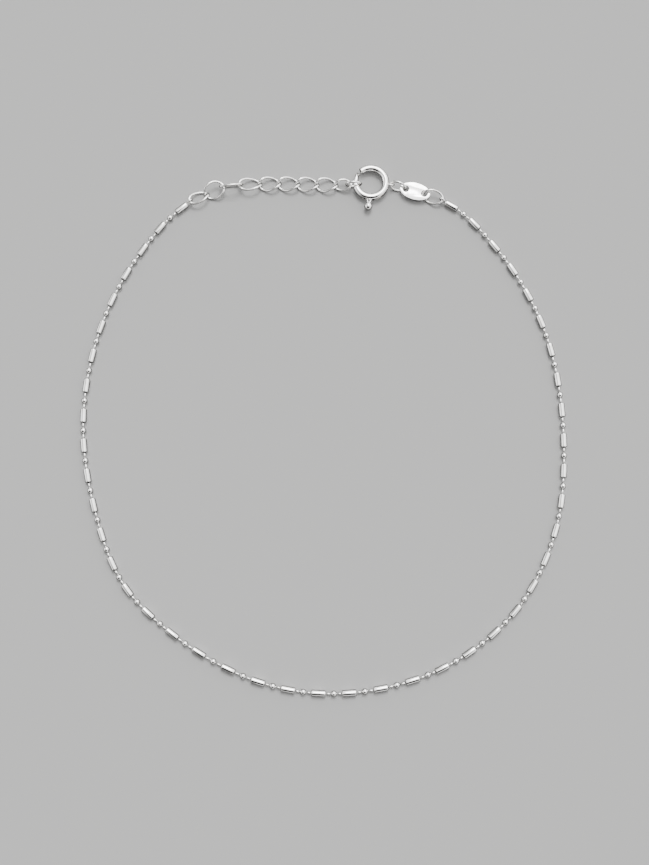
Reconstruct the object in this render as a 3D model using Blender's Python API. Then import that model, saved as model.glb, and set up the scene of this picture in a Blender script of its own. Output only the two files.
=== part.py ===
# An anklet of tube beads and balls on short wires, with an extender of oval links, a spring ring
# clasp and a bare oval tag. Metres, +Z up. It lies on the plane z = 0 and its origin is at the
# middle of its bounding box, on that plane.
import math

import bmesh
import bpy
import numpy as np
from mathutils import Matrix, Vector

# Bead chain
TUBE_RADIUS = 0.0005
TUBE_LENGTH = 0.00215
BALL_RADIUS = 0.00044
TUBE_RIM = 0.00012
TUBES = 44
TUBES_IN_RIGHT_HALF = 22
BEAD_SIDES = 10
BALL_LATITUDES = (-45, -15, 15, 45)
CHAIN_WIRE_RADIUS = 0.00014
CHAIN_WIRE_SIDES = 5
HALVES_GAP = 0.0001

# Wire hook that closes each end of the bead chain
HOOK_RADIUS = 0.0004
HOOK_NECK = 0.00068
HOOK_TURN = 275
HOOK_STEPS = 10

# Links
LINK_WIRE_RADIUS = 0.000175
LINK_WIRE_SIDES = 6
LINK_SEGMENTS = 16

# Spring ring clasp; angles are in degrees about its axis, counter-clockwise from +X
CLASP_CENTRE = Vector((0.00784, 0.03972, 0.00085))
CLASP_RADIUS = 0.00248
CLASP_TUBE_RADIUS = 0.00054
CLASP_SIDES = 12
MOUTH_ANGLE = 200
END_ANGLE = 130
BORE_FLAT = 0.00042
BORE_SIDES = 10
BORE_PAST_TAIL = 4
END_BORE_TURN = 9
SLOT_START = 246
SLOT_HEIGHT = 0.0005
SLOT_MARGIN = 2

EYELET_ANGLE = -6
EYELET_CENTRE_RADIUS = 0.00328
EYELET_RADIUS = 0.00055
EYELET_WIRE_RADIUS = 0.00015
EYELET_TILT = 27

# Trigger of the clasp: a curved tongue with a stem and a round knob
TONGUE_RADIUS = 0.0003
TONGUE_TIP = 141.5
TONGUE_TAIL = 272
TONGUE_SIDES = 8
KNOB_ANGLE = 264
KNOB_REACH = 0.00415
KNOB_RADIUS = 0.00062
KNOB_SEGMENTS = 12
KNOB_RINGS = 8
STEM_HEIGHT = 0.00034
STEM_ROOT_WIDTH = 0.0007
STEM_TIP_WIDTH = 0.0004
TRIGGER_TRAVEL = 52

# Tag plate
PLATE_CENTRE = Vector((0.01512, 0.03820, 0.00080))
PLATE_LENGTH = 0.0051
PLATE_WIDTH = 0.0029
PLATE_THICKNESS = 0.0003
PLATE_HEADING = -15.5
PLATE_HOLE_RADIUS = 0.00053
PLATE_HOLE_SPACING = 0.00315
PLATE_SEGMENTS = 40
PLATE_HOLE_SEGMENTS = 16

# Arcs are cut into steps of ARC_STEP degrees, and edges sharper than SHARP_EDGE stay crisp
ARC_STEP = 9
SHARP_EDGE = 50

# The bead chain's route on the ground, clockwise from the clasp. Each row is a tube's number and
# its centre; the first and last rows are the eyes of the wire hooks past the end tubes.
ROUTE = (
    (0.64, 0.0196, 0.0366),
    (1, 0.0211, 0.0358),
    (3, 0.0280, 0.0289),
    (6, 0.0352, 0.0162),
    (10, 0.0382, -0.0032),
    (13, 0.0364, -0.0175),
    (16, 0.0298, -0.0299),
    (19, 0.0183, -0.0386),
    (22, 0.0040, -0.0423),
    (25, -0.0100, -0.0406),
    (28, -0.0233, -0.0334),
    (30, -0.0304, -0.0267),
    (33, -0.0361, -0.0135),
    (36, -0.0382, 0.0008),
    (39, -0.0359, 0.0153),
    (42, -0.0295, 0.0283),
    (44, -0.0233, 0.0354),
    (44.36, -0.0218, 0.0365),
)

# Oval links: outer length and width, centre, heading, the heights of the left and right ends, and
# the roll of each end about the link's own long axis. Heading and roll are in degrees.
LINK_COLUMNS = ("name", "length", "width", "x", "y", "heading",
                "left_height", "right_height", "left_roll", "right_roll")
LINKS = (
    ("extender_link_01", 0.00369, 0.00245, -0.02044, 0.03720, 23, 0.00090, 0.00062, 0, -45),
    ("extender_link_02", 0.00366, 0.00305, -0.01794, 0.03838, 18, 0.00070, 0.00113, 42, 0),
    ("extender_link_03", 0.00405, 0.00238, -0.01515, 0.03912, 6, 0.00116, 0.00116, -69, -75),
    ("extender_link_04", 0.00401, 0.00260, -0.01201, 0.03943, 3, 0.00110, 0.00062, 6, -45),
    ("extender_link_05", 0.00400, 0.00260, -0.00887, 0.03957, 2, 0.00062, 0.00062, 45, -45),
    ("extender_link_06", 0.00400, 0.00260, -0.00574, 0.03957, -1, 0.00062, 0.00062, 45, -45),
    ("extender_link_07", 0.00400, 0.00260, -0.00261, 0.03949, -2, 0.00062, 0.00062, 45, -45),
    ("extender_link_08", 0.00400, 0.00260, 0.00052, 0.03942, -2, 0.00062, 0.00062, 45, -45),
    ("extender_link_09", 0.00310, 0.00210, 0.00322, 0.03932, 0, 0.00062, 0.00095, 45, 0),
    ("extender_link_10", 0.00282, 0.00215, 0.00501, 0.03938, 1, 0.00109, 0.00109, 88, 90),
    ("clasp_link", 0.00282, 0.00201, 0.01235, 0.03905, -14.5, 0.00091, 0.00089, 48, 69),
    ("tag_link", 0.00378, 0.00249, 0.01801, 0.03728, -18.5, 0.00075, 0.00089, 50, 4),
)

UP = Vector((0, 0, 1))


def clear_scene():
    for item in list(bpy.data.objects):
        bpy.data.objects.remove(item, do_unlink=True)


def silver(name, colour, roughness):
    material = bpy.data.materials.new(name)
    material.use_nodes = True
    shader = material.node_tree.nodes["Principled BSDF"]
    shader.inputs["Base Color"].default_value = (*colour, 1)
    shader.inputs["Roughness"].default_value = roughness
    shader.inputs["Metallic"].default_value = 1
    return material


def add_object(name, mesh, material=None):
    mesh.shade_smooth()
    mesh.set_sharp_from_angle(angle=math.radians(SHARP_EDGE))
    item = bpy.data.objects.new(name, mesh)
    bpy.context.scene.collection.objects.link(item)
    if material:
        mesh.materials.append(material)
    return item


def add_cutter(name, mesh):
    cutter = add_object(name, mesh)
    cutter.hide_render = True
    cutter.display_type = "WIRE"
    return cutter


def combine(item, tool, operation):
    step = item.modifiers.new(tool.name, "BOOLEAN")
    step.operation = operation
    step.solver = "EXACT"
    step.object = tool


def mesh_from(bm, name):
    bmesh.ops.recalc_face_normals(bm, faces=bm.faces)
    mesh = bpy.data.meshes.new(name)
    bm.to_mesh(mesh)
    bm.free()
    return mesh


def ring_points(centre, side, rise, radius, sides):
    # A flat of the ring faces down, and rings of 5 and 10 sides share their flats' directions.
    points = []
    for k in range(sides):
        angle = math.radians(-90 + 180 / sides + 360 * k / sides)
        points.append(centre + radius * (math.cos(angle) * side + math.sin(angle) * rise))
    return points


def bridge(bm, lower, upper):
    # Rings of equal count are joined by quads. A ring of twice the count gets a fan of triangles
    # at each corner of the smaller ring.
    if len(lower) == len(upper):
        for k in range(len(lower)):
            after = (k + 1) % len(lower)
            bm.faces.new((lower[k], lower[after], upper[after], upper[k]))
        return
    small, large = (lower, upper) if len(lower) < len(upper) else (upper, lower)
    for k in range(len(small)):
        first = large[2 * k]
        second = large[2 * k + 1]
        third = large[(2 * k + 2) % len(large)]
        bm.faces.new((small[k], first, second))
        bm.faces.new((small[k], second, third, small[(k + 1) % len(small)]))


def loft(rings, name, closed=False):
    bm = bmesh.new()
    loops = [[bm.verts.new(point) for point in ring] for ring in rings]
    for lower, upper in zip(loops, loops[1:]):
        bridge(bm, lower, upper)
    if closed:
        bridge(bm, loops[-1], loops[0])
    else:
        bm.faces.new(loops[0])
        bm.faces.new(loops[-1])
    return mesh_from(bm, name)


def route_point(number):
    # A cubic through the route's rows, whose slope at a row is that of the parabola through it
    # and its neighbours.
    rows = np.array(ROUTE)
    steps = np.diff(rows[:, 0])
    slopes = np.diff(rows[:, 1:], axis=0) / steps[:, None]
    inner = (slopes[:-1] * steps[1:, None] + slopes[1:] * steps[:-1, None])
    inner = inner / (steps[1:] + steps[:-1])[:, None]
    tangents = np.vstack((2 * slopes[0] - inner[0], inner, 2 * slopes[-1] - inner[-1]))
    at = int(np.clip(np.searchsorted(rows[:, 0], number, side="right") - 1, 0, len(steps) - 1))
    t = (number - rows[at, 0]) / steps[at]
    point = (2 * t**3 - 3 * t**2 + 1) * rows[at, 1:]
    point += (t**3 - 2 * t**2 + t) * steps[at] * tangents[at]
    point += (3 * t**2 - 2 * t**3) * rows[at + 1, 1:]
    point += (t**3 - t**2) * steps[at] * tangents[at + 1]
    return Vector((point[0], point[1], TUBE_RADIUS))


def route_heading(number):
    span = 0.2
    return (route_point(number + span) - route_point(number - span)).normalized()


def chain_ring(centre, axis, radius, sides):
    side = axis.cross(UP).normalized()
    return ring_points(centre, side, side.cross(axis), radius, sides)


def bead_profile_ring(centre, axis, offset, flat_radius):
    corner_radius = flat_radius / math.cos(math.pi / BEAD_SIDES)
    return chain_ring(centre + offset * axis, axis, corner_radius, BEAD_SIDES)


def tube_rings(number):
    centre = route_point(number)
    axis = route_heading(number)
    half = TUBE_LENGTH / 2
    start = chain_ring(centre - half * axis, axis, CHAIN_WIRE_RADIUS, CHAIN_WIRE_SIDES)
    end = chain_ring(centre + half * axis, axis, CHAIN_WIRE_RADIUS, CHAIN_WIRE_SIDES)
    profile = ((-half, TUBE_RADIUS - TUBE_RIM), (TUBE_RIM - half, TUBE_RADIUS),
               (half - TUBE_RIM, TUBE_RADIUS), (half, TUBE_RADIUS - TUBE_RIM))
    walls = [bead_profile_ring(centre, axis, offset, radius) for offset, radius in profile]
    return [start] + walls + [end]


def ball_rings(number):
    centre = route_point(number)
    axis = route_heading(number)
    pole = math.sqrt(BALL_RADIUS**2 - CHAIN_WIRE_RADIUS**2)
    start = chain_ring(centre - pole * axis, axis, CHAIN_WIRE_RADIUS, CHAIN_WIRE_SIDES)
    end = chain_ring(centre + pole * axis, axis, CHAIN_WIRE_RADIUS, CHAIN_WIRE_SIDES)
    walls = []
    for latitude in BALL_LATITUDES:
        offset = BALL_RADIUS * math.sin(math.radians(latitude))
        radius = BALL_RADIUS * math.cos(math.radians(latitude))
        walls.append(bead_profile_ring(centre, axis, offset, radius))
    return [start] + walls + [end]


def hook_rings(number, outward):
    # The wire leaves the end tube level, then turns up and back over into an open eye.
    heading = route_heading(number) * outward
    base = route_point(number) + heading * (TUBE_LENGTH / 2 + HOOK_NECK)
    eye = base + UP * HOOK_RADIUS
    rings = []
    for k in range(HOOK_STEPS + 1):
        angle = math.radians(-90 + HOOK_TURN * k / HOOK_STEPS)
        centre = eye + HOOK_RADIUS * (math.cos(angle) * heading + math.sin(angle) * UP)
        axis = math.cos(angle) * UP - math.sin(angle) * heading
        side = heading.cross(UP)
        rings.append(ring_points(centre, side, side.cross(axis), CHAIN_WIRE_RADIUS,
                                 CHAIN_WIRE_SIDES))
    return rings


def mirrored(ring):
    # A hook that leads into the chain has its rings listed the other way round.
    return [ring[-k] for k in range(1, len(ring) + 1)]


def build_chain_right(material):
    rings = []
    for ring in reversed(hook_rings(1, -1)):
        rings.append(mirrored(ring))
    for number in range(1, TUBES_IN_RIGHT_HALF + 1):
        rings += tube_rings(number)
        rings += ball_rings(number + 0.5)
    return add_object("bead_chain_right", loft(rings, "bead_chain_right"), material)


def build_chain_left(material):
    first = TUBES_IN_RIGHT_HALF + 1
    meeting_ball = route_point(first - 0.5)
    axis = route_heading(first - 0.5)
    start = meeting_ball + axis * (BALL_RADIUS + HALVES_GAP)
    rings = [chain_ring(start, axis, CHAIN_WIRE_RADIUS, CHAIN_WIRE_SIDES)]
    for number in range(first, TUBES + 1):
        rings += tube_rings(number)
        if number < TUBES:
            rings += ball_rings(number + 0.5)
    rings += hook_rings(TUBES, 1)
    return add_object("bead_chain_left", loft(rings, "bead_chain_left"), material)


def link_centreline(link, segments):
    heading = math.radians(link["heading"])
    along = Vector((math.cos(heading), math.sin(heading), 0))
    across = UP.cross(along)
    half_length = link["length"] / 2 - LINK_WIRE_RADIUS
    half_width = link["width"] / 2 - LINK_WIRE_RADIUS
    middle_height = (link["left_height"] + link["right_height"]) / 2
    middle = Vector((link["x"], link["y"], middle_height))
    slope = (link["right_height"] - link["left_height"]) / 2
    points = []
    for k in range(segments):
        turn = 2 * math.pi * k / segments
        share = math.cos(turn)
        roll = (link["right_roll"] + link["left_roll"]) / 2
        roll += (link["right_roll"] - link["left_roll"]) / 2 * share
        roll = math.radians(roll)
        point = middle + half_length * share * along + slope * share * UP
        point += half_width * math.sin(turn) * (math.cos(roll) * across + math.sin(roll) * UP)
        points.append(point)
    return points


def closed_wire(points, middle, wire_radius, sides, name):
    rings = []
    count = len(points)
    for k in range(count):
        axis = (points[(k + 1) % count] - points[k - 1]).normalized()
        outward = points[k] - middle
        outward = (outward - outward.dot(axis) * axis).normalized()
        rings.append(ring_points(points[k], outward, outward.cross(axis), wire_radius, sides))
    return loft(rings, name, closed=True)


def build_link(link, material):
    points = link_centreline(link, LINK_SEGMENTS)
    middle = sum(points, Vector()) / len(points)
    mesh = closed_wire(points, middle, LINK_WIRE_RADIUS, LINK_WIRE_SIDES, link["name"])
    return add_object(link["name"], mesh, material)


def clasp_arc(start, end, radius, corner_radius, sides, name):
    # A round bar swept about the clasp's axis, in the clasp's own frame.
    steps = max(2, round((end - start) / ARC_STEP))
    rings = []
    for k in range(steps + 1):
        angle = math.radians(start + (end - start) * k / steps)
        outward = Vector((math.cos(angle), math.sin(angle), 0))
        rings.append(ring_points(radius * outward, outward, UP, corner_radius, sides))
    return loft(rings, name)


def slot_arc(start, end, name):
    steps = round((end - start) / ARC_STEP)
    inner = CLASP_RADIUS
    outer = CLASP_RADIUS + 2 * CLASP_TUBE_RADIUS
    half = SLOT_HEIGHT / 2
    rings = []
    for k in range(steps + 1):
        angle = math.radians(start + (end - start) * k / steps)
        outward = Vector((math.cos(angle), math.sin(angle), 0))
        rings.append([outward * inner - UP * half, outward * outer - UP * half,
                      outward * outer + UP * half, outward * inner + UP * half])
    return loft(rings, name)


def eyelet_mesh(name):
    angle = math.radians(EYELET_ANGLE)
    outward = Vector((math.cos(angle), math.sin(angle), 0))
    tilt = math.radians(EYELET_TILT)
    rise = math.cos(tilt) * UP - math.sin(tilt) * UP.cross(outward)
    middle = EYELET_CENTRE_RADIUS * outward
    points = []
    for k in range(LINK_SEGMENTS):
        turn = 2 * math.pi * (k + 0.5) / LINK_SEGMENTS
        points.append(middle + EYELET_RADIUS * (math.cos(turn) * outward + math.sin(turn) * rise))
    return closed_wire(points, middle, EYELET_WIRE_RADIUS, LINK_WIRE_SIDES, name)


def build_clasp_ring(material):
    mesh = clasp_arc(MOUTH_ANGLE, END_ANGLE + 360, CLASP_RADIUS, CLASP_TUBE_RADIUS, CLASP_SIDES,
                     "clasp_ring")
    ring = add_object("clasp_ring", mesh, material)
    ring.location = CLASP_CENTRE
    bore_corner = BORE_FLAT / math.cos(math.pi / BORE_SIDES)
    bore_end = TONGUE_TAIL + TRIGGER_TRAVEL + BORE_PAST_TAIL
    stem_half_turn = math.degrees(STEM_ROOT_WIDTH / 2 / CLASP_RADIUS)
    slot_end = KNOB_ANGLE + TRIGGER_TRAVEL + stem_half_turn + SLOT_MARGIN
    tools = (
        ("eyelet", eyelet_mesh("eyelet"), "UNION"),
        ("bore", clasp_arc(MOUTH_ANGLE - ARC_STEP, bore_end, CLASP_RADIUS, bore_corner,
                           BORE_SIDES, "bore"), "DIFFERENCE"),
        ("end_bore", clasp_arc(END_ANGLE - END_BORE_TURN, END_ANGLE + ARC_STEP, CLASP_RADIUS,
                               bore_corner, BORE_SIDES, "end_bore"), "DIFFERENCE"),
        ("slot", slot_arc(SLOT_START, slot_end, "slot"), "DIFFERENCE"),
    )
    for name, tool_mesh, operation in tools:
        tool = add_cutter(name, tool_mesh)
        tool.location = CLASP_CENTRE
        combine(ring, tool, operation)
    return ring


def stem_mesh(name):
    angle = math.radians(KNOB_ANGLE)
    outward = Vector((math.cos(angle), math.sin(angle), 0))
    across = UP.cross(outward)
    rings = []
    for reach, width in ((CLASP_RADIUS, STEM_ROOT_WIDTH), (KNOB_REACH, STEM_TIP_WIDTH)):
        rings.append([outward * reach + across * x * width / 2 + UP * z * STEM_HEIGHT / 2
                      for x, z in ((-1, -1), (1, -1), (1, 1), (-1, 1))])
    return loft(rings, name)


def knob_mesh(name):
    angle = math.radians(KNOB_ANGLE)
    bm = bmesh.new()
    bmesh.ops.create_uvsphere(bm, u_segments=KNOB_SEGMENTS, v_segments=KNOB_RINGS,
                              radius=KNOB_RADIUS)
    place = Matrix.Translation((KNOB_REACH * math.cos(angle), KNOB_REACH * math.sin(angle), 0))
    place = place @ Matrix.Rotation(angle, 4, "Z") @ Matrix.Rotation(math.radians(90), 4, "Y")
    bmesh.ops.transform(bm, matrix=place, verts=bm.verts)
    return mesh_from(bm, name)


def build_trigger(material):
    corner = TONGUE_RADIUS / math.cos(math.pi / TONGUE_SIDES)
    mesh = clasp_arc(TONGUE_TIP, TONGUE_TAIL, CLASP_RADIUS, corner, TONGUE_SIDES, "clasp_trigger")
    trigger = add_object("clasp_trigger", mesh, material)
    trigger.location = CLASP_CENTRE
    for name, tool_mesh in (("stem", stem_mesh("stem")), ("knob", knob_mesh("knob"))):
        tool = add_cutter(name, tool_mesh)
        tool.location = CLASP_CENTRE
        combine(trigger, tool, "UNION")
    return trigger


def build_tag_plate(material):
    bm = bmesh.new()
    rings = []
    for z in (-PLATE_THICKNESS / 2, PLATE_THICKNESS / 2):
        ring = []
        for k in range(PLATE_SEGMENTS):
            turn = 2 * math.pi * k / PLATE_SEGMENTS
            ring.append(bm.verts.new((PLATE_LENGTH / 2 * math.cos(turn),
                                      PLATE_WIDTH / 2 * math.sin(turn), z)))
        rings.append(ring)
    bridge(bm, *rings)
    bm.faces.new(rings[0])
    bm.faces.new(rings[1])
    plate = add_object("tag_plate", mesh_from(bm, "tag_plate"), material)
    turn = Matrix.Rotation(math.radians(PLATE_HEADING), 4, "Z")
    plate.matrix_world = Matrix.Translation(PLATE_CENTRE) @ turn
    for name, side in (("left_hole", -1), ("right_hole", 1)):
        hole = bmesh.new()
        bmesh.ops.create_cone(hole, cap_ends=True, segments=PLATE_HOLE_SEGMENTS,
                              radius1=PLATE_HOLE_RADIUS, radius2=PLATE_HOLE_RADIUS,
                              depth=3 * PLATE_THICKNESS)
        tool = add_cutter(name, mesh_from(hole, name))
        offset = Matrix.Translation((side * PLATE_HOLE_SPACING / 2, 0, 0))
        tool.matrix_world = plate.matrix_world @ offset
        combine(plate, tool, "DIFFERENCE")
    return plate


def main():
    clear_scene()
    chain_silver = silver("chain_silver", (0.88, 0.87, 0.85), 0.16)
    clasp_silver = silver("clasp_silver", (0.90, 0.89, 0.87), 0.14)
    tag_silver = silver("tag_silver", (0.93, 0.92, 0.90), 0.30)
    build_chain_right(chain_silver)
    build_chain_left(chain_silver)
    for row in LINKS:
        build_link(dict(zip(LINK_COLUMNS, row)), chain_silver)
    build_clasp_ring(clasp_silver)
    build_trigger(clasp_silver)
    build_tag_plate(tag_silver)


main()
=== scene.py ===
# The anklet's looks: polished silver beads on wire, oval links, a spring ring and a bare tag.
# Metres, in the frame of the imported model.
import math

import bmesh
import bpy
from mathutils import Matrix, Vector


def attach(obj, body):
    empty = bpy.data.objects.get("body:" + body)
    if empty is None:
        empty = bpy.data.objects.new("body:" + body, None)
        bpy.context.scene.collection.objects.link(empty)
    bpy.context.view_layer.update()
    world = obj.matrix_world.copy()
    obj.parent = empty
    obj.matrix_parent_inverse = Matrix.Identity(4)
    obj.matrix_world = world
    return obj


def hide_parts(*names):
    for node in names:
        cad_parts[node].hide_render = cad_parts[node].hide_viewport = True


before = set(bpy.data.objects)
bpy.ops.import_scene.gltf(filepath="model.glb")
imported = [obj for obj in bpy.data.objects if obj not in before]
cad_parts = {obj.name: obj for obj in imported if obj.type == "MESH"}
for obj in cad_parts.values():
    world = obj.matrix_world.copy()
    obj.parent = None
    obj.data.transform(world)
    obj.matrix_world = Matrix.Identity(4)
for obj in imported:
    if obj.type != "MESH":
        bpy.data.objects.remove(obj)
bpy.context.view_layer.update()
print("frame loaded with", len(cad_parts), "nodes")

up = Vector((0, 0, 1))


# Mesh helpers

def ringPoints(centre, side, rise, radius, sides, start=0):
    points = []
    for k in range(sides):
        turn = start + 2 * math.pi * k / sides
        points.append(centre + radius * (math.cos(turn) * side + math.sin(turn) * rise))
    return points


def loftMesh(name, rings, closed=False):
    bm = bmesh.new()
    loops = [[bm.verts.new(point) for point in ring] for ring in rings]
    pairs = list(zip(loops, loops[1:]))
    if closed:
        pairs.append((loops[-1], loops[0]))
    for lower, upper in pairs:
        for k in range(len(lower)):
            after = (k + 1) % len(lower)
            bm.faces.new((lower[k], lower[after], upper[after], upper[k]))
    if not closed:
        bm.faces.new(loops[0])
        bm.faces.new(loops[-1])
    bmesh.ops.recalc_face_normals(bm, faces=bm.faces)
    mesh = bpy.data.meshes.new(name)
    bm.to_mesh(mesh)
    bm.free()
    return mesh


def latheMesh(name, profile, segments, lipRow):
    # The profile runs (height, radius) from pole to pole; all inside the bore's lip is its wall.
    rings = []
    for height, radius in profile:
        rings.append(ringPoints(Vector((0, 0, height)), Vector((1, 0, 0)), Vector((0, 1, 0)),
                                radius, segments))
    mesh = loftMesh(name, rings)
    bore = mesh.attributes.new("bore", "BOOLEAN", "FACE")
    lipRadius = profile[lipRow][1]
    for face in mesh.polygons:
        bore.data[face.index].value = math.hypot(face.center.x, face.center.y) < lipRadius
    return mesh


def sceneObject(name, mesh):
    item = bpy.data.objects.new(name, mesh)
    bpy.context.scene.collection.objects.link(item)
    return item


def smoothed(mesh, sharpAngle):
    mesh.shade_smooth()
    mesh.set_sharp_from_angle(angle=math.radians(sharpAngle))


def bakedCopy(item, name):
    # The evaluated result as a plain mesh in an object of its own; the source object goes.
    depsgraph = bpy.context.evaluated_depsgraph_get()
    mesh = bpy.data.meshes.new_from_object(item.evaluated_get(depsgraph), depsgraph=depsgraph)
    mesh.name = name
    bpy.data.objects.remove(item, do_unlink=True)
    return sceneObject(name, mesh)


# Node helpers

def newTree(name, kind, inputs, outputs):
    tree = bpy.data.node_groups.new(name, kind)
    for direction, sockets in (("INPUT", inputs), ("OUTPUT", outputs)):
        for label, socketType, *value in sockets:
            socket = tree.interface.new_socket(label, in_out=direction, socket_type=socketType)
            if value:
                socket.default_value = value[0]
    return tree, tree.nodes.new("NodeGroupInput"), tree.nodes.new("NodeGroupOutput")


def addNode(tree, kind, sockets=(), **settings):
    node = tree.nodes.new(kind)
    for key, value in settings.items():
        setattr(node, key, value)
    for key, value in sockets:
        target = node.inputs[key]
        if isinstance(value, bpy.types.NodeSocket):
            tree.links.new(value, target)
        else:
            target.default_value = value
    return node


def setInput(modifier, label, value):
    for socket in modifier.node_group.interface.items_tree:
        if socket.item_type == "SOCKET" and socket.in_out == "INPUT" and socket.name == label:
            modifier[socket.identifier] = value


# Materials

silverGrain = {
    "patchScale": 900.0,
    "patchDetail": 4.0,
    "patchRoughness": 0.6,
    "wearFrom": 0.42,
    "wearTo": 0.68,
    "grainScale": 16000.0,
    "grainDetail": 3.0,
    "grainShare": 0.35,
}


def makeSilverGrain():
    tree, given, made = newTree(
        "silverGrain", "ShaderNodeTree",
        (("Bright", "NodeSocketColor", (0.95, 0.94, 0.92, 1)),
         ("Dull", "NodeSocketColor", (0.8, 0.78, 0.75, 1)),
         ("Roughness", "NodeSocketFloat", 0.12),
         ("Spread", "NodeSocketFloat", 0.06)),
        (("Colour", "NodeSocketColor"), ("Roughness", "NodeSocketFloat"),
         ("Height", "NodeSocketFloat")))
    place = addNode(tree, "ShaderNodeTexCoord").outputs["Object"]
    patches = addNode(tree, "ShaderNodeTexNoise",
                      (("Vector", place), ("Scale", silverGrain["patchScale"]),
                       ("Detail", silverGrain["patchDetail"]),
                       ("Roughness", silverGrain["patchRoughness"])))
    grain = addNode(tree, "ShaderNodeTexNoise",
                    (("Vector", place), ("Scale", silverGrain["grainScale"]),
                     ("Detail", silverGrain["grainDetail"])))
    wear = addNode(tree, "ShaderNodeMapRange",
                   (("Value", patches.outputs["Fac"]), ("From Min", silverGrain["wearFrom"]),
                    ("From Max", silverGrain["wearTo"])))
    colour = addNode(tree, "ShaderNodeMix",
                     (("Factor", wear.outputs["Result"]), ("A", given.outputs["Bright"]),
                      ("B", given.outputs["Dull"])), data_type="RGBA")
    rough = addNode(tree, "ShaderNodeMath",
                    ((0, wear.outputs["Result"]), (1, given.outputs["Spread"]),
                     (2, given.outputs["Roughness"])), operation="MULTIPLY_ADD")
    height = addNode(tree, "ShaderNodeMath",
                     ((0, grain.outputs["Fac"]), (1, silverGrain["grainShare"]),
                      (2, patches.outputs["Fac"])), operation="MULTIPLY_ADD")
    tree.links.new(colour.outputs["Result"], made.inputs["Colour"])
    tree.links.new(rough.outputs[0], made.inputs["Roughness"])
    tree.links.new(height.outputs[0], made.inputs["Height"])
    return tree


def makeSilver(name, grain, finish):
    material = bpy.data.materials.new(name)
    material.use_nodes = True
    tree = material.node_tree
    shader = tree.nodes["Principled BSDF"]
    shader.inputs["Metallic"].default_value = 1
    group = addNode(tree, "ShaderNodeGroup", node_tree=grain)
    for label in ("Bright", "Dull", "Roughness", "Spread"):
        group.inputs[label].default_value = finish[label]
    bump = addNode(tree, "ShaderNodeBump",
                   (("Height", group.outputs["Height"]), ("Strength", finish["bump"]),
                    ("Distance", finish["bumpDepth"])))
    tree.links.new(group.outputs["Colour"], shader.inputs["Base Color"])
    tree.links.new(group.outputs["Roughness"], shader.inputs["Roughness"])
    tree.links.new(bump.outputs["Normal"], shader.inputs["Normal"])
    return material


polishedFinish = {"Bright": (0.96, 0.955, 0.94, 1), "Dull": (0.84, 0.82, 0.79, 1),
                  "Roughness": 0.05, "Spread": 0.04, "bump": 0.06, "bumpDepth": 0.00001}
claspFinish = {"Bright": (0.96, 0.955, 0.945, 1), "Dull": (0.86, 0.84, 0.81, 1),
               "Roughness": 0.06, "Spread": 0.04, "bump": 0.05, "bumpDepth": 0.00001}
tagFinish = {"Bright": (0.97, 0.965, 0.955, 1), "Dull": (0.72, 0.71, 0.7, 1),
             "Roughness": 0.16, "Spread": 0.1, "bump": 0.25, "bumpDepth": 0.00001}
# Painted shade: a near-black silver for the inside of the bead bores and for the wire's necks by
# the beads, where shade falls.
boreShadeLook = {"Bright": (0.10, 0.095, 0.09, 1), "Dull": (0.05, 0.05, 0.05, 1),
              "Roughness": 0.45, "Spread": 0.2, "bump": 0.2, "bumpDepth": 0.00001}

grainTree = makeSilverGrain()
polishedSilver = makeSilver("polishedSilver", grainTree, polishedFinish)
claspSilver = makeSilver("claspSilver", grainTree, claspFinish)
tagSilver = makeSilver("tagSilver", grainTree, tagFinish)
paintedBoreShade = makeSilver("paintedBoreShade", grainTree, boreShadeLook)
print("materials made")


# Bead chain

beadChain = {
    "tubes": 44,
    "tubesInRightHalf": 22,
    "tubeLength": 0.00215,
    "tubeRadius": 0.0005,
    "tubeRim": 0.00012,
    "tubeRimSteps": 5,
    "tubeSegments": 32,
    "ballRadius": 0.00047,
    "ballSteps": 7,
    "ballSegments": 28,
    "boreRadius": 0.00027,
    "boreDepth": 0.0003,
    "boreFloor": 1e-6,
    "tubeLip": 1.12,
    # A ball's bore and its depth as shares of a tube's, its lip as a share of its bore, the lip's
    # drop as a share of its radius, and the degrees left free on each side of its middle
    "ballBoreShare": 0.75,
    "ballDepthShare": 0.5,
    "ballLip": 1.15,
    "ballLipDrop": 0.05,
    "ballMiddleGap": 4,
    "lipRow": 3,
    "neckFrom": 0.75,
    "sharpAngle": 38,
    "wireRadius": 0.00016,
    "wireSides": 12,
    # From bead to bead: share of the gap, share of the wire's radius, and 1 on a neck painted dark
    # as shade
    "wireRuns": ((0.0, 0.6, 1), (0.16, 0.6, 1), (0.26, 1.0, 0), (0.74, 1.0, 0),
                 (0.84, 0.6, 1), (1.0, 0.6, 1)),
    "wobble": math.radians(0.8),
    "seed": 7,
    "hookRadius": 0.0004,
    "hookNeck": 0.00068,
    "hookTurn": 275,
    "hookSteps": 26,
    "headingStep": 0.2,
    "leftStartShare": 0.85,
    # Each row is a tube's number and its centre, clockwise from the clasp; the first and last
    # rows are the eyes of the wire hooks.
    "route": (
        (0.64, 0.0196, 0.0366),
        (1, 0.0211, 0.0358),
        (3, 0.0280, 0.0289),
        (6, 0.0352, 0.0162),
        (10, 0.0382, -0.0032),
        (13, 0.0364, -0.0175),
        (16, 0.0298, -0.0299),
        (19, 0.0183, -0.0386),
        (22, 0.0040, -0.0423),
        (25, -0.0100, -0.0406),
        (28, -0.0233, -0.0334),
        (30, -0.0304, -0.0267),
        (33, -0.0361, -0.0135),
        (36, -0.0382, 0.0008),
        (39, -0.0359, 0.0153),
        (42, -0.0295, 0.0283),
        (44, -0.0233, 0.0354),
        (44.36, -0.0218, 0.0365),
    ),
}


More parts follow.
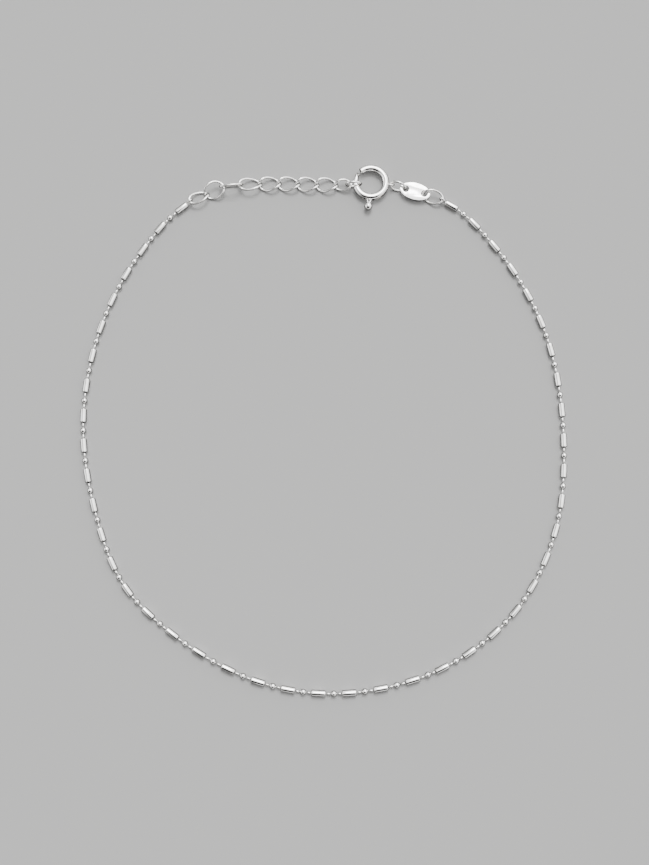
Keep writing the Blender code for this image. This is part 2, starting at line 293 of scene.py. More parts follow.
def routeSlopes(rows):
    # At each row, the slope of the parabola through it and its neighbours.
    points = [Vector(row[1:]) for row in rows]
    steps = [b[0] - a[0] for a, b in zip(rows, rows[1:])]
    runs = [(b - a) / step for a, b, step in zip(points, points[1:], steps)]
    inner = []
    for k in range(1, len(rows) - 1):
        weighted = runs[k - 1] * steps[k] + runs[k] * steps[k - 1]
        inner.append(weighted / (steps[k] + steps[k - 1]))
    return [2 * runs[0] - inner[0]] + inner + [2 * runs[-1] - inner[-1]]


beadSlopes = routeSlopes(beadChain["route"])


def routePoint(number):
    rows = beadChain["route"]
    at = 0
    while at < len(rows) - 2 and number >= rows[at + 1][0]:
        at += 1
    step = rows[at + 1][0] - rows[at][0]
    t = (number - rows[at][0]) / step
    point = (2 * t**3 - 3 * t**2 + 1) * Vector(rows[at][1:])
    point += (t**3 - 2 * t**2 + t) * step * beadSlopes[at]
    point += (3 * t**2 - 2 * t**3) * Vector(rows[at + 1][1:])
    point += (t**3 - t**2) * step * beadSlopes[at + 1]
    return Vector((point.x, point.y, beadChain["tubeRadius"]))


def routeHeading(number):
    step = beadChain["headingStep"]
    return (routePoint(number + step) - routePoint(number - step)).normalized()


def tubeProfile():
    half = beadChain["tubeLength"] / 2
    outer = beadChain["tubeRadius"]
    rim = beadChain["tubeRim"]
    bore = beadChain["boreRadius"]
    depth = beadChain["boreDepth"]
    lip = bore * beadChain["tubeLip"]
    steps = beadChain["tubeRimSteps"]
    end = [(half - depth, beadChain["boreFloor"]), (half - depth, bore), (half - rim / 3, bore),
           (half, lip)]
    for k in range(steps + 1):
        turn = math.radians(90 - 90 * k / steps)
        end.append((half - rim + rim * math.sin(turn), outer - rim + rim * math.cos(turn)))
    return [(-height, radius) for height, radius in end] + end[::-1]


def ballProfile():
    outer = beadChain["ballRadius"]
    bore = beadChain["boreRadius"] * beadChain["ballBoreShare"]
    depth = beadChain["boreDepth"] * beadChain["ballDepthShare"]
    top = math.degrees(math.acos(bore * beadChain["ballLip"] / outer))
    lip = outer * math.sin(math.radians(top))
    steps = beadChain["ballSteps"]
    end = [(lip - depth, beadChain["boreFloor"]), (lip - depth, bore),
           (lip - outer * beadChain["ballLipDrop"], bore)]
    for k in range(steps + 1):
        turn = math.radians(top - (top - beadChain["ballMiddleGap"]) * k / steps)
        end.append((outer * math.sin(turn), outer * math.cos(turn)))
    return [(-height, radius) for height, radius in end] + end[::-1]


def makeBeadString():
    tree, given, made = newTree(
        "beadString", "GeometryNodeTree",
        (("Geometry", "NodeSocketGeometry"), ("Tube Bead", "NodeSocketObject"),
         ("Ball Bead", "NodeSocketObject"), ("Wire Radius", "NodeSocketFloat", 0.0001),
         ("Wire Sides", "NodeSocketInt", 12), ("Wobble", "NodeSocketFloat", 0.0),
         ("Seed", "NodeSocketInt", 0), ("Silver", "NodeSocketMaterial"),
         ("Bore", "NodeSocketMaterial")),
        (("Geometry", "NodeSocketGeometry"),))
    heading = addNode(tree, "GeometryNodeInputNamedAttribute", (("Name", "heading"),),
                      data_type="FLOAT_VECTOR")
    kind = addNode(tree, "GeometryNodeInputNamedAttribute", (("Name", "beadKind"),),
                   data_type="INT")
    aligned = addNode(tree, "FunctionNodeAlignRotationToVector",
                      (("Vector", heading.outputs["Attribute"]),), axis="Z")
    negative = addNode(tree, "ShaderNodeMath", ((0, given.outputs["Wobble"]), (1, -1.0)),
                       operation="MULTIPLY")
    lowest = addNode(tree, "ShaderNodeCombineXYZ",
                     (("X", negative.outputs[0]), ("Y", negative.outputs[0]), ("Z", -math.pi)))
    highest = addNode(tree, "ShaderNodeCombineXYZ",
                      (("X", given.outputs["Wobble"]), ("Y", given.outputs["Wobble"]),
                       ("Z", math.pi)))
    loose = addNode(tree, "FunctionNodeRandomValue",
                    ((0, lowest.outputs[0]), (1, highest.outputs[0]),
                     ("Seed", given.outputs["Seed"])), data_type="FLOAT_VECTOR")
    looseTurn = addNode(tree, "FunctionNodeEulerToRotation", ((0, loose.outputs[0]),))
    turned = addNode(tree, "FunctionNodeRotateRotation",
                     ((0, aligned.outputs[0]), (1, looseTurn.outputs[0])), rotation_space="LOCAL")
    joined = addNode(tree, "GeometryNodeJoinGeometry")
    for number, label in ((1, "Tube Bead"), (2, "Ball Bead")):
        chosen = addNode(tree, "FunctionNodeCompare", data_type="INT", operation="EQUAL")
        tree.links.new(kind.outputs["Attribute"], chosen.inputs[2])
        chosen.inputs[3].default_value = number
        bead = addNode(tree, "GeometryNodeObjectInfo", ((0, given.outputs[label]),))
        placed = addNode(tree, "GeometryNodeInstanceOnPoints",
                         (("Points", given.outputs["Geometry"]),
                          ("Selection", chosen.outputs[0]),
                          ("Instance", bead.outputs["Geometry"]),
                          ("Rotation", turned.outputs[0])))
        tree.links.new(placed.outputs[0], joined.inputs[0])
    path = addNode(tree, "GeometryNodeMeshToCurve", ((0, given.outputs["Geometry"]),))
    section = addNode(tree, "GeometryNodeCurvePrimitiveCircle",
                      (("Resolution", given.outputs["Wire Sides"]),
                       ("Radius", given.outputs["Wire Radius"])))
    thickness = addNode(tree, "GeometryNodeInputNamedAttribute", (("Name", "wireShare"),),
                        data_type="FLOAT")
    wire = addNode(tree, "GeometryNodeCurveToMesh",
                   (("Curve", path.outputs[0]), ("Profile Curve", section.outputs[0]),
                    ("Scale", thickness.outputs["Attribute"]), ("Fill Caps", True)))
    tree.links.new(wire.outputs[0], joined.inputs[0])
    realized = addNode(tree, "GeometryNodeRealizeInstances", ((0, joined.outputs[0]),))
    # Painted shade: the bead bores and the wire's necks by the beads take the dark bore material.
    inBore = addNode(tree, "GeometryNodeInputNamedAttribute", (("Name", "bore"),),
                     data_type="BOOLEAN")
    neck = addNode(tree, "GeometryNodeInputNamedAttribute", (("Name", "neck"),),
                   data_type="FLOAT")
    onNeck = addNode(tree, "FunctionNodeCompare",
                     (("A", neck.outputs["Attribute"]), ("B", beadChain["neckFrom"])),
                     data_type="FLOAT", operation="GREATER_THAN")
    paintedShade = addNode(tree, "FunctionNodeBooleanMath",
                        ((0, inBore.outputs["Attribute"]), (1, onNeck.outputs[0])),
                        operation="OR")
    silvered = addNode(tree, "GeometryNodeSetMaterial",
                       (("Geometry", realized.outputs[0]), ("Material", given.outputs["Silver"])))
    finished = addNode(tree, "GeometryNodeSetMaterial",
                       (("Geometry", silvered.outputs[0]),
                        ("Selection", paintedShade.outputs[0]),
                        ("Material", given.outputs["Bore"])))
    tree.links.new(finished.outputs[0], made.inputs[0])
    return tree


def hookPath(number, outward):
    heading = routeHeading(number) * outward
    reach = beadChain["tubeLength"] / 2 + beadChain["hookNeck"]
    radius = beadChain["hookRadius"]
    eye = routePoint(number) + heading * reach + up * radius
    points = []
    for k in range(beadChain["hookSteps"] + 1):
        turn = math.radians(-90 + beadChain["hookTurn"] * k / beadChain["hookSteps"])
        point = eye + radius * (math.cos(turn) * heading + math.sin(turn) * up)
        points.append((point, 0, heading, 1, 0))
    return points


def wireBetween(start, reached, heading):
    # The bare wire between two points, thin where it enters the beads, with painted shade on those
    # necks
    return [(start.lerp(reached, share), 0, heading, thickness, neck)
            for share, thickness, neck in beadChain["wireRuns"]]


def beadStations(first, last, endsInBall):
    # Points along the wire, each with its kind (1 a tube's middle, 2 a ball's, 0 bare wire), its
    # heading, the wire's share of thickness and its neck mark
    half = beadChain["tubeLength"] / 2
    stations = []
    for number in range(first, last + 1):
        centre = routePoint(number)
        heading = routeHeading(number)
        if number > first:
            stations += wireBetween(stations[-1][0], centre - half * heading, heading)
        stations.append((centre, 1, heading, 1, 0))
        if number < last or endsInBall:
            ball = routePoint(number + 0.5)
            onward = routeHeading(number + 0.5)
            toSurface = beadChain["ballRadius"] * onward
            stations += wireBetween(centre + half * heading, ball - toSurface, onward)
            stations.append((ball, 2, onward, 1, 0))
            if number < last:
                stations.append((ball + toSurface, 0, onward, 1, 0))
    return stations


def makeBeadHalf(name, stations, tree, tubeBead, ballBead):
    mesh = bpy.data.meshes.new(name)
    mesh.from_pydata([station[0] for station in stations],
                     [(k, k + 1) for k in range(len(stations) - 1)], [])
    for label, valueType in (("beadKind", "INT"), ("heading", "FLOAT_VECTOR"),
                             ("wireShare", "FLOAT"), ("neck", "FLOAT")):
        mesh.attributes.new(label, valueType, "POINT")
    for k, (point, kind, heading, share, neck) in enumerate(stations):
        mesh.attributes["beadKind"].data[k].value = kind
        mesh.attributes["heading"].data[k].vector = heading
        mesh.attributes["wireShare"].data[k].value = share
        mesh.attributes["neck"].data[k].value = neck
    item = sceneObject(name + "Path", mesh)
    string = item.modifiers.new("beads", "NODES")
    string.node_group = tree
    for label, value in (("Tube Bead", tubeBead), ("Ball Bead", ballBead),
                         ("Wire Radius", beadChain["wireRadius"]),
                         ("Wire Sides", beadChain["wireSides"]),
                         ("Wobble", beadChain["wobble"]), ("Seed", beadChain["seed"]),
                         ("Silver", polishedSilver), ("Bore", paintedBoreShade)):
        setInput(string, label, value)
    half = bakedCopy(item, name)
    smoothed(half.data, beadChain["sharpAngle"])
    return half


def makeBead(name, profile, segments):
    return sceneObject(name, latheMesh(name, profile, segments, beadChain["lipRow"]))


tubeBead = makeBead("tubeBead", tubeProfile(), beadChain["tubeSegments"])
ballBead = makeBead("ballBead", ballProfile(), beadChain["ballSegments"])
beadString = makeBeadString()
middle = beadChain["tubesInRightHalf"]
rightStations = hookPath(1, -1)[::-1] + beadStations(1, middle, True)
leftHeading = routeHeading(middle + 0.5)
leftStart = leftHeading * beadChain["ballRadius"] * beadChain["leftStartShare"]
leftStart += routePoint(middle + 0.5)
leftStations = [(leftStart, 0, leftHeading, 1, 0)]
leftTube = routePoint(middle + 1) - routeHeading(middle + 1) * beadChain["tubeLength"] / 2
leftStations += wireBetween(leftStart, leftTube, routeHeading(middle + 1))
leftStations += beadStations(middle + 1, beadChain["tubes"], False)
leftStations += hookPath(beadChain["tubes"], 1)
beadsRight = makeBeadHalf("beadsRight", rightStations, beadString, tubeBead, ballBead)
beadsLeft = makeBeadHalf("beadsLeft", leftStations, beadString, tubeBead, ballBead)
for bead in (tubeBead, ballBead):
    bpy.data.objects.remove(bead, do_unlink=True)
for half, node in ((beadsRight, "bead_chain_right"), (beadsLeft, "bead_chain_left")):
    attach(half, "anklet")
    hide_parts(node)
print("bead chain strung")


# Links

linkMake = {
    "wireRadius": 0.000175,
    "wireSides": 16,
    "points": 80,
    "seamPinch": 0.93,
    "sharpAngle": 60,
    "columns": ("name", "length", "width", "x", "y", "heading",
                "leftHeight", "rightHeight", "leftRoll", "rightRoll"),
    "rows": (
        ("extender_link_01", 0.00369, 0.00245, -0.02044, 0.03720, 23, 0.00090, 0.00062, 0, -45),
        ("extender_link_02", 0.00366, 0.00305, -0.01794, 0.03838, 18, 0.00070, 0.00113, 42, 0),
        ("extender_link_03", 0.00405, 0.00238, -0.01515, 0.03912, 6, 0.00116, 0.00116, -69, -75),
        ("extender_link_04", 0.00401, 0.00260, -0.01201, 0.03943, 3, 0.00110, 0.00062, 6, -45),
        ("extender_link_05", 0.00400, 0.00260, -0.00887, 0.03957, 2, 0.00062, 0.00062, 45, -45),
        ("extender_link_06", 0.00400, 0.00260, -0.00574, 0.03957, -1, 0.00062, 0.00062, 45, -45),
        ("extender_link_07", 0.00400, 0.00260, -0.00261, 0.03949, -2, 0.00062, 0.00062, 45, -45),
        ("extender_link_08", 0.00400, 0.00260, 0.00052, 0.03942, -2, 0.00062, 0.00062, 45, -45),
        ("extender_link_09", 0.00310, 0.00210, 0.00322, 0.03932, 0, 0.00062, 0.00095, 45, 0),
        ("extender_link_10", 0.00282, 0.00215, 0.00501, 0.03938, 1, 0.00109, 0.00109, 88, 90),
        ("clasp_link", 0.00282, 0.00201, 0.01235, 0.03905, -14.5, 0.00091, 0.00089, 48, 69),
        ("tag_link", 0.00378, 0.00249, 0.01801, 0.03728, -18.5, 0.00075, 0.00089, 50, 4),
    ),
}


def makeWireLoop():
    tree, given, made = newTree(
        "wireLoop", "GeometryNodeTree",
        (("Geometry", "NodeSocketGeometry"), ("Wire Radius", "NodeSocketFloat", 0.0001),
         ("Wire Sides", "NodeSocketInt", 12), ("Silver", "NodeSocketMaterial")),
        (("Geometry", "NodeSocketGeometry"),))
    pinch = addNode(tree, "GeometryNodeInputNamedAttribute", (("Name", "pinch"),),
                    data_type="FLOAT")
    path = addNode(tree, "GeometryNodeMeshToCurve", ((0, given.outputs["Geometry"]),))
    sized = addNode(tree, "GeometryNodeSetCurveRadius",
                    (("Curve", path.outputs[0]), ("Radius", pinch.outputs["Attribute"])))
    section = addNode(tree, "GeometryNodeCurvePrimitiveCircle",
                      (("Resolution", given.outputs["Wire Sides"]),
                       ("Radius", given.outputs["Wire Radius"])))
    wire = addNode(tree, "GeometryNodeCurveToMesh",
                   (("Curve", sized.outputs[0]), ("Profile Curve", section.outputs[0]),
                    ("Scale", pinch.outputs["Attribute"])))
    realized = addNode(tree, "GeometryNodeRealizeInstances", ((0, wire.outputs[0]),))
    finished = addNode(tree, "GeometryNodeSetMaterial",
                       (("Geometry", realized.outputs[0]), ("Material", given.outputs["Silver"])))
    tree.links.new(finished.outputs[0], made.inputs[0])
    return tree


def linkPath(link):
    heading = math.radians(link["heading"])
    along = Vector((math.cos(heading), math.sin(heading), 0))
    across = up.cross(along)
    halfLength = link["length"] / 2 - linkMake["wireRadius"]
    halfWidth = link["width"] / 2 - linkMake["wireRadius"]
    centre = Vector((link["x"], link["y"], (link["leftHeight"] + link["rightHeight"]) / 2))
    slope = (link["rightHeight"] - link["leftHeight"]) / 2
    points = []
    for k in range(linkMake["points"]):
        turn = 2 * math.pi * k / linkMake["points"]
        share = math.cos(turn)
        roll = (link["rightRoll"] + link["leftRoll"]) / 2
        roll = math.radians(roll + (link["rightRoll"] - link["leftRoll"]) / 2 * share)
        point = centre + halfLength * share * along + slope * share * up
        point += halfWidth * math.sin(turn) * (math.cos(roll) * across + math.sin(roll) * up)
        points.append(point)
    return points


def makeLink(link, tree):
    points = linkPath(link)
    count = len(points)
    mesh = bpy.data.meshes.new(link["name"])
    mesh.from_pydata(points, [(k, (k + 1) % count) for k in range(count)], [])
    pinch = mesh.attributes.new("pinch", "FLOAT", "POINT")
    for k in range(count):
        pinch.data[k].value = linkMake["seamPinch"] if k == count // 4 else 1
    item = sceneObject(link["name"] + "Path", mesh)
    loop = item.modifiers.new("wire", "NODES")
    loop.node_group = tree
    setInput(loop, "Wire Radius", linkMake["wireRadius"])
    setInput(loop, "Wire Sides", linkMake["wireSides"])
    setInput(loop, "Silver", polishedSilver)
    made = bakedCopy(item, link["name"] + "_wire")
    smoothed(made.data, linkMake["sharpAngle"])
    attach(made, "anklet")
    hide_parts(link["name"])


wireLoop = makeWireLoop()
for row in linkMake["rows"]:
    makeLink(dict(zip(linkMake["columns"], row)), wireLoop)
print("links bent")


# Clasp

clasp = {
    "centre": Vector((0.00784, 0.03972, 0.00085)),
    "radius": 0.00248,
    "tubeRadius": 0.00054,
    "sides": 40,
    "step": 2.5,
    "mouthAngle": 200,
    "endAngle": 130,
    "boreRadius": 0.00043,
    "boreEndAngle": 328,
    "shortBoreTurn": 9,
    "rimRound": 0.00004,
    "rimMargin": 2,
    "slotStart": 246,
    "slotEnd": 326,
    "slotHeight": 0.0005,
    "slotEndShare": 0.3,
    "eyeletAngle": -6,
    "eyeletCentreRadius": 0.00328,
    "eyeletRadius": 0.00055,
    "eyeletWireRadius": 0.00015,
    "eyeletTilt": math.radians(27),
    "eyeletSteps": 36,
    "eyeletSides": 16,
    "sharpAngle": 35,
}


def claspRings(sections, centreRadius, sides):
    # Each section is an angle in degrees about the clasp's axis and the bar's radius there.
    rings = []
    for angle, radius in sections:
        turn = math.radians(angle)
        outward = Vector((math.cos(turn), math.sin(turn), 0))
        centre = clasp["centre"] + centreRadius * outward
        rings.append(ringPoints(centre, outward, up, radius, sides))
    return rings


def arcAngles(start, end):
    count = max(2, round(abs(end - start) / clasp["step"]))
    return [start + (end - start) * k / count for k in range(count + 1)]


def arcSections(start, end, radius):
    return [(angle, radius) for angle in arcAngles(start, end)]


def mouthSections(angle, inward):
    # The rounded rim between bore and outside, at a cut end; inward is the way into the metal.
    turn = math.degrees(clasp["rimRound"] / clasp["radius"]) * inward
    wall = clasp["tubeRadius"] - clasp["boreRadius"]
    shares = ((1.0, 0.0), (0.3, 0.06), (0.0, 0.25), (0.0, 0.75), (0.3, 0.94), (1.0, 1.0))
    return [(angle + turn * back, clasp["boreRadius"] + wall * out) for back, out in shares]


def slotMesh():
    radius = clasp["radius"]
    half = clasp["slotHeight"] / 2
    roundTurn = math.degrees(half / (radius + clasp["tubeRadius"]))
    rings = []
    for angle in arcAngles(clasp["slotStart"], clasp["slotEnd"]):
        fromEnd = min(angle - clasp["slotStart"], clasp["slotEnd"] - angle)
        share = min(1, max(clasp["slotEndShare"], fromEnd / roundTurn))
        rise = half * math.sqrt(1 - (1 - share)**2)
        turn = math.radians(angle)
        outward = Vector((math.cos(turn), math.sin(turn), 0))
        near = clasp["centre"] + outward * radius
        far = clasp["centre"] + outward * (radius + 2 * clasp["tubeRadius"])
        rings.append([near - up * rise, far - up * rise, far + up * rise, near + up * rise])
    return loftMesh("slot", rings)


def eyeletMesh():
    turn = math.radians(clasp["eyeletAngle"])
    outward = Vector((math.cos(turn), math.sin(turn), 0))
    rise = math.cos(clasp["eyeletTilt"]) * up - math.sin(clasp["eyeletTilt"]) * up.cross(outward)
    middlePoint = clasp["centre"] + outward * clasp["eyeletCentreRadius"]
    rings = []
    for k in range(clasp["eyeletSteps"]):
        around = 2 * math.pi * (k + 0.5) / clasp["eyeletSteps"]
        spoke = math.cos(around) * outward + math.sin(around) * rise
        rings.append(ringPoints(middlePoint + clasp["eyeletRadius"] * spoke, spoke,
                                rise.cross(outward), clasp["eyeletWireRadius"],
                                clasp["eyeletSides"]))
    return loftMesh("eyelet", rings, closed=True)


def booleaned(item, tool, operation):
    step = item.modifiers.new(operation.lower(), "BOOLEAN")
    step.operation = operation
    step.solver = "EXACT"
    step.object = tool


def makeClaspRing():
    radius = clasp["tubeRadius"]
    mouth = clasp["mouthAngle"]
    end = clasp["endAngle"] + 360
    margin = clasp["rimMargin"]
    sections = arcSections(clasp["boreEndAngle"], mouth + margin, clasp["boreRadius"])
    sections += mouthSections(mouth, 1)
    sections += arcSections(mouth + margin, end - margin, radius)
    sections += mouthSections(end, -1)[::-1]
    sections += arcSections(end - margin, end - clasp["shortBoreTurn"], clasp["boreRadius"])
    mesh = loftMesh("claspRing", claspRings(sections, clasp["radius"], clasp["sides"]))
    ring = sceneObject("claspRingBlank", mesh)
    tools = [sceneObject("slot", slotMesh()), sceneObject("eyelet", eyeletMesh())]
    booleaned(ring, tools[0], "DIFFERENCE")
    booleaned(ring, tools[1], "UNION")
    made = bakedCopy(ring, "claspRing")
    for tool in tools:
        bpy.data.objects.remove(tool, do_unlink=True)
    smoothed(made.data, clasp["sharpAngle"])
    made.data.materials.clear()
    made.data.materials.append(claspSilver)
    return made


trigger = {
    "tongueRadius": 0.00035,
    "tongueSides": 28,
    "tipAngle": 141.5,
    "tipTurn": 19,
    "tipCut": 1.35,
    "tailAngle": 272,
    "knobAngle": 264,
    "knobReach": 0.00415,
    "knobRadius": 0.00066,
    "knobSegments": 40,
    "knobRings": 24,
    "sharpAngle": 40,
    "legRadius": 0.00013,
    "legSides": 16,
    # The two legs' reach from the clasp's axis, and how far each stands from the middle line there
    "legPath": ((0.00262, 0.00029), (0.00305, 0.00029), (0.00334, 0.00017), (0.00362, 0.00008),
                (0.00395, 0.00006)),
}


def makeTongue():
    sections = arcSections(trigger["tailAngle"], trigger["tipAngle"], trigger["tongueRadius"])
    rings = claspRings(sections, clasp["radius"], trigger["tongueSides"])
    # The tip is cut on the slant from its inner upper side, so its outer side reaches furthest.
    for (angle, radius), ring in zip(sections, rings):
        share = (trigger["tipAngle"] + trigger["tipTurn"] - angle) / trigger["tipTurn"]
        if share <= 0:
            continue
        turn = math.radians(angle)
        outward = Vector((math.cos(turn), math.sin(turn), 0))
        cutWay = (up - outward).normalized()
        middlePoint = clasp["centre"] + outward * clasp["radius"]
        most = radius * (1 - trigger["tipCut"] * share)
        for k, point in enumerate(ring):
            height = (point - middlePoint).dot(cutWay)
            if height > most:
                ring[k] = point - cutWay * (height - most)
    return loftMesh("tongue", rings)


def makeKnobAndLegs():
    turn = math.radians(trigger["knobAngle"])
    outward = Vector((math.cos(turn), math.sin(turn), 0))
    across = up.cross(outward)
    knob = clasp["centre"] + outward * trigger["knobReach"]
    bm = bmesh.new()
    bmesh.ops.create_uvsphere(bm, u_segments=trigger["knobSegments"],
                              v_segments=trigger["knobRings"], radius=trigger["knobRadius"])
    bmesh.ops.transform(bm, matrix=Matrix.Translation(knob), verts=bm.verts)
    ball = bpy.data.meshes.new("knob")
    bm.to_mesh(ball)
    bm.free()
    meshes = [ball]
    for side in (-1, 1):
        rings = []
        for reach, spread in trigger["legPath"]:
            centre = clasp["centre"] + outward * reach + across * side * spread
            rings.append(ringPoints(centre, across, up, trigger["legRadius"],
                                    trigger["legSides"]))
        meshes.append(loftMesh("leg", rings))
    return meshes


def makeTrigger():
    item = sceneObject("claspTriggerBlank", makeTongue())
    tools = [sceneObject("triggerTool", mesh) for mesh in makeKnobAndLegs()]
    for tool in tools:
        booleaned(item, tool, "UNION")
    made = bakedCopy(item, "claspTrigger")
    for tool in tools:
        bpy.data.objects.remove(tool, do_unlink=True)
    smoothed(made.data, trigger["sharpAngle"])
    made.data.materials.clear()
    made.data.materials.append(claspSilver)
    return made


claspRing = makeClaspRing()
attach(claspRing, "anklet")
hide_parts("clasp_ring")
claspTrigger = makeTrigger()
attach(claspTrigger, "trigger")
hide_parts("clasp_trigger")
print("clasp made")


# Tag

tag = {
    "centre": Vector((0.01512, 0.03820, 0.00080)),
    "length": 0.0051,
    "width": 0.0029,
    "thickness": 0.0003,
    "heading": -15.5,
    "holeRadius": 0.00053,
    "holeSpacing": 0.00315,
    "holeToolHeight": 3,
    "edgeRound": 0.00006,
    "edgeSteps": 4,
    "edgeAngle": math.radians(50),
    "sharpAngle": 30,
    "outlinePoints": 120,
    "holePoints": 40,
}


def discMesh(name, halfLength, halfWidth, thickness, count):
    rings = []
    for height in (-thickness / 2, thickness / 2):
        ring = []
        for k in range(count):
            turn = 2 * math.pi * k / count
            ring.append(Vector((halfLength * math.cos(turn), halfWidth * math.sin(turn), height)))
        rings.append(ring)
    return loftMesh(name, rings)


def makeTag():
    plate = sceneObject("tagBlank", discMesh("tag", tag["length"] / 2, tag["width"] / 2,
                                             tag["thickness"], tag["outlinePoints"]))
    tools = []
    for side in (-1, 1):
        hole = discMesh("hole", tag["holeRadius"], tag["holeRadius"],
                        tag["thickness"] * tag["holeToolHeight"], tag["holePoints"])
        hole.transform(Matrix.Translation((side * tag["holeSpacing"] / 2, 0, 0)))
        tools.append(sceneObject("hole", hole))
        booleaned(plate, tools[-1], "DIFFERENCE")
    edge = plate.modifiers.new("edge", "BEVEL")
    edge.width = tag["edgeRound"]
    edge.segments = tag["edgeSteps"]
    edge.limit_method = "ANGLE"
    edge.angle_limit = tag["edgeAngle"]
    made = bakedCopy(plate, "tagPlate")
    for tool in tools:
        bpy.data.objects.remove(tool, do_unlink=True)
    turn = Matrix.Rotation(math.radians(tag["heading"]), 4, "Z")
    made.data.transform(Matrix.Translation(tag["centre"]) @ turn)
    smoothed(made.data, tag["sharpAngle"])
    made.data.materials.clear()
    made.data.materials.append(tagSilver)
    return made


tagPlate = makeTag()
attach(tagPlate, "anklet")
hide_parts("tag_plate")
print("tag cut")


# Floor, light and camera

studio = {
    "floorSize": 20.0,
    "floorDrop": 0.00002,
    "floorColour": (0.56, 0.56, 0.555, 1),
    "floorRoughness": 0.8,
    "floorMirrored": (0.15, 0.15, 0.15, 1),
    "keyPlace": (0.05, 0.35, 0.55),
    "keySpread": math.radians(26),
    "keyPower": 1.9,
    "skyOnFloor": 1.7,
    "skyInSilver": 3.6,
    # Levels by the degrees that a direction leans from overhead towards the front
    "levelsToFront": ((-90, 0.7), (-80, 1.0), (13, 1.0), (20, 0.7), (90, 0.5)),
    # Levels by a direction's share to the right
    "levelsToRight": ((-1, 0.8), (-0.8, 0.7), (-0.7, 0.2), (-0.42, 0.2), (-0.34, 0.6),
                      (0, 0.85), (0.35, 1.0), (0.7, 0.85), (1, 0.5)),
    # The black card in front: how much of it stands at each lean and share to the right
    "cardToFront": ((-90, 0), (9, 0), (13, 1), (68, 1), (73, 0)),
    "cardToRight": ((-1, 0), (-0.65, 0), (-0.5, 1), (0.45, 1), (0.6, 0)),
    "cardLevel": (0.003, 0.003, 0.003, 1),
    "cameraElevation": 81,
    "cameraDistance": 0.16859,
    "cameraTarget": (0.00021, -0.00185, 0),
    "lens": 44,
    "nearest": 0.01,
    "farthest": 10,
}


def makeFloor():
    half = studio["floorSize"] / 2
    drop = -studio["floorDrop"]
    mesh = bpy.data.meshes.new("floor")
    mesh.from_pydata([(-half, -half, drop), (half, -half, drop), (half, half, drop),
                      (-half, half, drop)], [], [(0, 1, 2, 3)])
    floor = sceneObject("floor", mesh)
    material = bpy.data.materials.new("paleFloor")
    material.use_nodes = True
    tree = material.node_tree
    shader = tree.nodes["Principled BSDF"]
    shader.inputs["Roughness"].default_value = studio["floorRoughness"]
    shader.inputs["Specular IOR Level"].default_value = 0
    # The silver mirrors a dimmer floor than the one that is seen.
    path = addNode(tree, "ShaderNodeLightPath")
    colour = addNode(tree, "ShaderNodeMix",
                     (("Factor", path.outputs["Is Glossy Ray"]), ("A", studio["floorColour"]),
                      ("B", studio["floorMirrored"])), data_type="RGBA")
    tree.links.new(colour.outputs["Result"], shader.inputs["Base Color"])
    mesh.materials.append(material)


def levelsAcross(tree, value, lowest, highest, stops):
    # Light levels along a value, as grey stops at shares of its range.
    share = addNode(tree, "ShaderNodeMapRange",
                    (("Value", value), ("From Min", lowest), ("From Max", highest)))
    ramp = addNode(tree, "ShaderNodeValToRGB", (("Fac", share.outputs["Result"]),))
    elements = ramp.color_ramp.elements
    while len(elements) < len(stops):
        elements.new(1.0)
    for element, (place, level) in zip(elements, stops):
        element.position = (place - lowest) / (highest - lowest)
        element.color = (level, level, level, 1)
    return ramp.outputs["Color"]


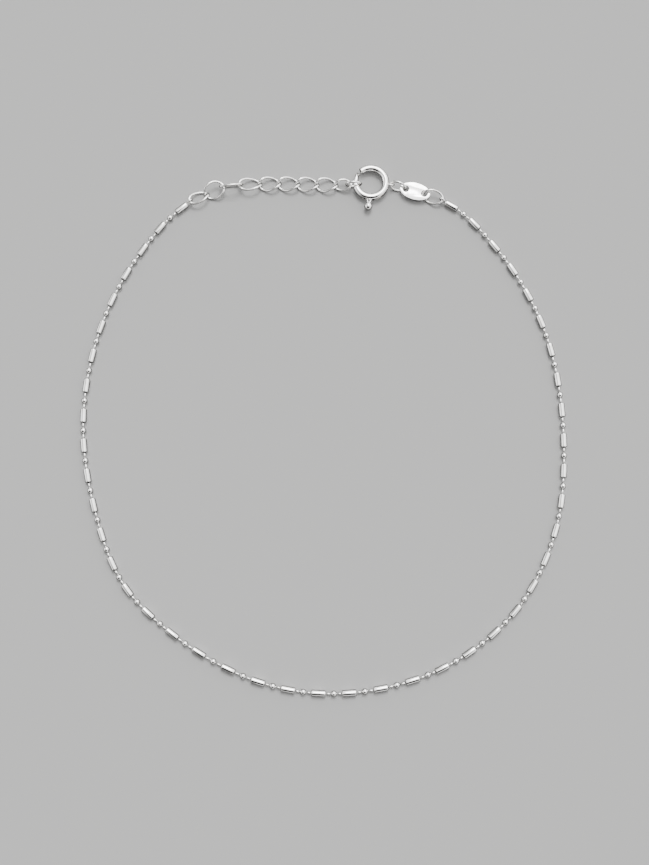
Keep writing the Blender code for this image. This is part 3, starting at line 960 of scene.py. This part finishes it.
def makeSky():
    # A soft box overhead and behind, a front fill and a black card before it. The silver mirrors
    # them brighter than they light the floor.
    world = bpy.data.worlds.new("studio")
    world.use_nodes = True
    tree = world.node_tree
    direction = addNode(tree, "ShaderNodeTexCoord").outputs["Generated"]
    parts = addNode(tree, "ShaderNodeSeparateXYZ", ((0, direction),))
    toFront = addNode(tree, "ShaderNodeMath", ((0, parts.outputs["Y"]), (1, -1.0)),
                      operation="MULTIPLY")
    slant = addNode(tree, "ShaderNodeMath", ((0, toFront.outputs[0]), (1, parts.outputs["Z"])),
                    operation="ARCTAN2")
    degrees = addNode(tree, "ShaderNodeMath", ((0, slant.outputs[0]),), operation="DEGREES")
    frontToBack = levelsAcross(tree, degrees.outputs[0], -90, 90, studio["levelsToFront"])
    leftToRight = levelsAcross(tree, parts.outputs["X"], -1, 1, studio["levelsToRight"])
    both = addNode(tree, "ShaderNodeMix", (("Factor", 1.0), ("A", frontToBack),
                                           ("B", leftToRight)),
                   data_type="RGBA", blend_type="MULTIPLY")
    cardSlant = levelsAcross(tree, degrees.outputs[0], -90, 90, studio["cardToFront"])
    cardAcross = levelsAcross(tree, parts.outputs["X"], -1, 1, studio["cardToRight"])
    card = addNode(tree, "ShaderNodeMath", ((0, cardSlant), (1, cardAcross)),
                   operation="MULTIPLY")
    carded = addNode(tree, "ShaderNodeMix",
                     (("Factor", card.outputs[0]), ("A", both.outputs["Result"]),
                      ("B", studio["cardLevel"])), data_type="RGBA")
    path = addNode(tree, "ShaderNodeLightPath")
    strength = addNode(tree, "ShaderNodeMix",
                       (("Factor", path.outputs["Is Glossy Ray"]), ("A", studio["skyOnFloor"]),
                        ("B", studio["skyInSilver"])), data_type="FLOAT")
    back = tree.nodes["Background"]
    tree.links.new(carded.outputs["Result"], back.inputs["Color"])
    tree.links.new(strength.outputs[0], back.inputs["Strength"])
    bpy.context.scene.world = world


def makeKeyLight():
    light = bpy.data.lights.new("key", "SUN")
    light.angle = studio["keySpread"]
    light.energy = studio["keyPower"]
    lamp = bpy.data.objects.new("key", light)
    bpy.context.scene.collection.objects.link(lamp)
    lamp.location = studio["keyPlace"]
    lamp.rotation_euler = (-lamp.location).to_track_quat("-Z", "Y").to_euler()


def makeCamera():
    lens = bpy.data.cameras.new("camera")
    lens.lens = studio["lens"]
    lens.clip_start = studio["nearest"]
    lens.clip_end = studio["farthest"]
    camera = bpy.data.objects.new("camera", lens)
    bpy.context.scene.collection.objects.link(camera)
    rise = math.radians(studio["cameraElevation"])
    away = Vector((0, -math.cos(rise), math.sin(rise)))
    camera.location = Vector(studio["cameraTarget"]) + away * studio["cameraDistance"]
    camera.rotation_euler = (-away).to_track_quat("-Z", "Y").to_euler()
    bpy.context.scene.camera = camera


makeFloor()
makeSky()
makeKeyLight()
makeCamera()
print("stage set")
